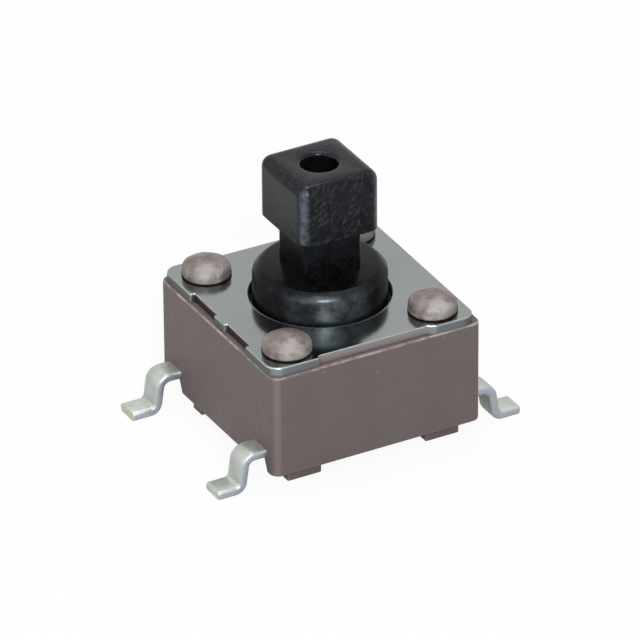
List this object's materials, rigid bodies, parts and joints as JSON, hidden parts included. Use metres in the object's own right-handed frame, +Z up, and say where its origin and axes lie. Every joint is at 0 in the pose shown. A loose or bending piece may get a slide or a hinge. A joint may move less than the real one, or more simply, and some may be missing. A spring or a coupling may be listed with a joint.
{
  "type": "tactile push button switch",
  "caption": "Surface-mount tactile push button switch with gull-wing terminals, riveted steel cover plate and a tall square-headed plunger.",
  "frame": {"origin": "centre of the terminal footprint, on the board plane that the four terminal soles rest on", "axes": "+Z up along the plunger, +X across the body from terminal to terminal, +Y along a side that has two terminals"},
  "size_m": [0.0088, 0.006, 0.0074],
  "materials": {
    "moulding": "fine-grained grey-brown moulding",
    "cover": "matt rolled stainless sheet",
    "plunger": "black moulding with a faint sheen",
    "dome": "bright spring steel",
    "contacts": "matt tin plate over copper alloy"
  },
  "bodies": {
    "base": {"housing": "moulding", "cover_plate": "cover", "snap_dome": "dome", "contact_frame_centre": "contacts", "contact_frame_rim": "contacts"},
    "button": {"plunger": "plunger"}
  },
  "joints": [
    {"name": "press", "type": "slide", "parent": "base", "child": "button", "axis": [0, 0, -1], "range_m": [0, 0.00025], "stiffness_N_per_m": 6400, "deforming": ["snap_dome"]}
  ]
}
